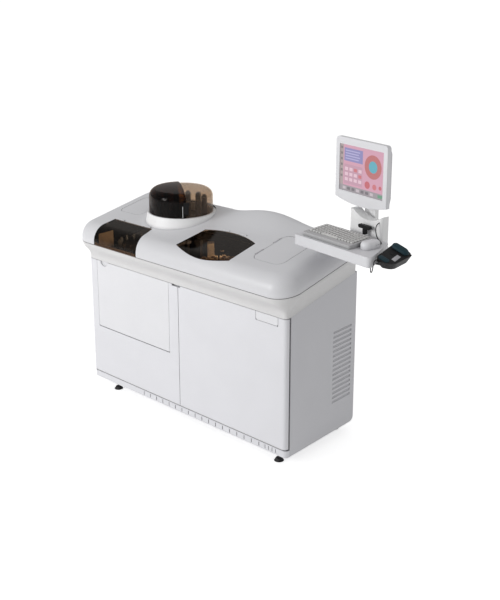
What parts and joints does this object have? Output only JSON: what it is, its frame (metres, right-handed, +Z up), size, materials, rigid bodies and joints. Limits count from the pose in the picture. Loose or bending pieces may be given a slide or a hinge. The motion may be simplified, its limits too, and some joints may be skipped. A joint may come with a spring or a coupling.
{
  "type": "immunoassay_analyzer",
  "caption": "Floor-standing immunoassay analyzer with hinged doors and lids, a turning dome, inner rotors and probes, and a swinging keyboard tray with monitor and scanner",
  "frame": {"origin": "on the floor plane, below the middle of the box round everything but the cords", "axes": "+X to the operator's right, +Y from the operator to the rear, +Z up"},
  "size_m": [1.9278, 0.597, 1.5343],
  "materials": {
    "white_paint": "semi-gloss powder coat",
    "grey_paint": "semi-gloss powder coat",
    "white_plastic": "fine satin moulding",
    "grey_plastic": "fine satin moulding",
    "dark_plastic": "satin moulding",
    "teal_plastic": "satin moulding",
    "smoked_window": "polished smoked acrylic",
    "tan_window": "polished tinted acrylic",
    "screen_glass": "lit display panel",
    "steel": "machined",
    "aluminium": "anodized",
    "clear_plastic": "clear moulding",
    "amber_plastic": "tinted moulding",
    "rubber": "smooth"
  },
  "bodies": {
    "cabinet": {"chassis_frame": "steel", "floor_pan": "steel", "left_side_panel": "grey_paint", "right_side_panel": "grey_paint", "rear_panel": "grey_paint", "kick_plate": "white_paint", "skirt_band": "white_plastic", "deck_plate": "aluminium", "top_cover": "white_plastic", "dome_collar": "white_plastic", "dome_fixed_cover": "tan_window", "level_feet": "rubber", "hinge_pins": "steel", "drive_units": "steel", "luminometer": "dark_plastic", "syringe_pumps": "aluminium", "fluid_bottles": "clear_plastic", "waste_bin": "grey_plastic", "power_supply": "aluminium", "power_inlet": "dark_plastic", "arm_post": "steel"},
    "left_door": {"left_door": "white_paint"},
    "access_flap": {"access_flap": "white_plastic"},
    "right_door": {"right_door": "white_paint", "label_tab": "white_plastic"},
    "sample_window": {"sample_window": "smoked_window"},
    "reagent_window": {"reagent_window": "smoked_window"},
    "service_lid": {"service_lid": "white_plastic"},
    "corner_lid": {"corner_lid": "white_plastic"},
    "dome_cover": {"dome_turning_cover": "smoked_window", "dome_handle": "dark_plastic"},
    "sample_rotor": {"sample_carousel": "dark_plastic", "sample_tubes": "clear_plastic"},
    "reagent_rotor": {"reagent_carousel": "dark_plastic", "reagent_packs": "amber_plastic"},
    "bead_rotor": {"bead_carousel": "dark_plastic", "bead_tubes": "amber_plastic"},
    "incubator": {"incubator_rotor": "aluminium"},
    "sample_post": {"sample_probe_post": "steel"},
    "sample_arm": {"sample_probe_arm": "white_plastic"},
    "reagent_post": {"reagent_probe_post": "steel"},
    "reagent_arm": {"reagent_probe_arm": "white_plastic"},
    "workstation": {"tray_arm": "grey_paint", "keyboard_tray": "white_plastic", "monitor_support": "white_plastic", "keyboard_case": "grey_plastic", "keyboard_keys": "dark_plastic", "scanner_cradle": "dark_plastic", "scanner_cord": "rubber", "mouse_cord": "rubber"},
    "space_bar": {"space_bar": "dark_plastic"},
    "mouse": {"mouse_body": "white_plastic"},
    "mouse_left": {"mouse_left_button": "white_plastic"},
    "mouse_right": {"mouse_right_button": "white_plastic"},
    "monitor": {"monitor_bezel": "white_plastic", "monitor_back": "grey_plastic", "monitor_screen": "screen_glass"},
    "tilt_handle": {"tilt_handle": "dark_plastic"},
    "scanner": {"scanner_body": "teal_plastic"},
    "scanner_trigger": {"scanner_trigger": "dark_plastic"}
  },
  "joints": [
    {"name": "left_door_hinge", "type": "hinge", "parent": "cabinet", "child": "left_door", "pos_m": [-0.90289, -0.2215, 0.42], "axis": [0, 0, -1], "range_deg": [0, 105]},
    {"name": "flap_hinge", "type": "hinge", "parent": "left_door", "child": "access_flap", "pos_m": [-0.57388, -0.2305, 0.376], "axis": [1, 0, 0], "range_deg": [0, 80]},
    {"name": "right_door_hinge", "type": "hinge", "parent": "cabinet", "child": "right_door", "pos_m": [0.46512, -0.2215, 0.42], "axis": [0, 0, 1], "range_deg": [0, 105]},
    {"name": "sample_window_hinge", "type": "hinge", "parent": "cabinet", "child": "sample_window", "pos_m": [-0.63638, -0.1525, 0.97026], "axis": [-1, 0, 0], "range_deg": [0, 75]},
    {"name": "reagent_window_hinge", "type": "hinge", "parent": "cabinet", "child": "reagent_window", "pos_m": [-0.06139, -0.0005, 0.99914], "axis": [-1, 0, 0], "range_deg": [0, 75]},
    {"name": "corner_lid_hinge", "type": "hinge", "parent": "cabinet", "child": "corner_lid", "pos_m": [-0.77489, 0.1355, 1.02498], "axis": [-1, 0, 0], "range_deg": [0, 80]},
    {"name": "service_lid_hinge", "type": "hinge", "parent": "cabinet", "child": "service_lid", "pos_m": [0.19911, -0.0405, 0.99154], "axis": [0, -0.9824, -0.1867], "range_deg": [0, 100]},
    {"name": "dome_turn", "type": "hinge", "parent": "cabinet", "child": "dome_cover", "pos_m": [-0.48089, 0.0475, 1.031], "axis": [0, 0, 1], "range_deg": [0, 165]},
    {"name": "sample_rotor_turn", "type": "hinge", "parent": "cabinet", "child": "sample_rotor", "pos_m": [-0.62889, -0.1165, 0.808], "axis": [0, 0, 1], "continuous": true},
    {"name": "reagent_rotor_turn", "type": "hinge", "parent": "cabinet", "child": "reagent_rotor", "pos_m": [-0.05888, -0.1115, 0.808], "axis": [0, 0, 1], "continuous": true},
    {"name": "bead_rotor_turn", "type": "hinge", "parent": "cabinet", "child": "bead_rotor", "pos_m": [-0.48089, 0.0475, 0.808], "axis": [0, 0, 1], "continuous": true},
    {"name": "incubator_turn", "type": "hinge", "parent": "cabinet", "child": "incubator", "pos_m": [0.27111, -0.0215, 0.808], "axis": [0, 0, 1], "continuous": true},
    {"name": "sample_probe_turn", "type": "hinge", "parent": "cabinet", "child": "sample_post", "pos_m": [-0.34388, -0.0515, 0.808], "axis": [0, 0, 1], "range_deg": [-80, 80]},
    {"name": "sample_probe_lift", "type": "slide", "parent": "sample_post", "child": "sample_arm", "axis": [0, 0, -1], "range_m": [0, 0.014]},
    {"name": "reagent_probe_turn", "type": "hinge", "parent": "cabinet", "child": "reagent_post", "pos_m": [0.11611, -0.1325, 0.808], "axis": [0, 0, 1], "range_deg": [-50, 70]},
    {"name": "reagent_probe_lift", "type": "slide", "parent": "reagent_post", "child": "reagent_arm", "axis": [0, 0, -1], "range_m": [0, 0.014]},
    {"name": "tray_swing", "type": "hinge", "parent": "cabinet", "child": "workstation", "pos_m": [0.42112, 0.2035, 1.0503], "axis": [0, 0, 1], "range_deg": [0, 60]},
    {"name": "monitor_tilt", "type": "hinge", "parent": "workstation", "child": "monitor", "pos_m": [0.63798, 0.17073, 1.29775], "axis": [-0.9781, 0.2079, 0], "range_deg": [-5, 20]},
    {"name": "tilt_handle_turn", "type": "hinge", "parent": "workstation", "child": "tilt_handle", "pos_m": [0.69094, 0.0736, 1.15], "axis": [-0.2079, -0.9781, 0], "range_deg": [0, 90]},
    {"name": "space_bar_press", "type": "slide", "parent": "workstation", "child": "space_bar", "axis": [0, 0, -1], "range_m": [0, 0.003], "stiffness_N_per_m": 300, "springref_m": -0.002},
    {"name": "mouse_move", "type": "slide", "parent": "workstation", "child": "mouse", "axis": [0.1564, 0.9877, 0], "range_m": [-0.03, 0]},
    {"name": "mouse_left_press", "type": "slide", "parent": "mouse", "child": "mouse_left", "axis": [0, 0, -1], "range_m": [0, 0.001], "stiffness_N_per_m": 600, "springref_m": -0.001},
    {"name": "mouse_right_press", "type": "slide", "parent": "mouse", "child": "mouse_right", "axis": [0, 0, -1], "range_m": [0, 0.001], "stiffness_N_per_m": 600, "springref_m": -0.001},
    {"name": "scanner_lift", "type": "slide", "parent": "workstation", "child": "scanner", "axis": [0, 0, 1], "range_m": [0, 0.06]},
    {"name": "trigger_press", "type": "slide", "parent": "scanner", "child": "scanner_trigger", "axis": [0, 0, -1], "range_m": [0, 0.0025], "stiffness_N_per_m": 600, "springref_m": -0.001}
  ]
}
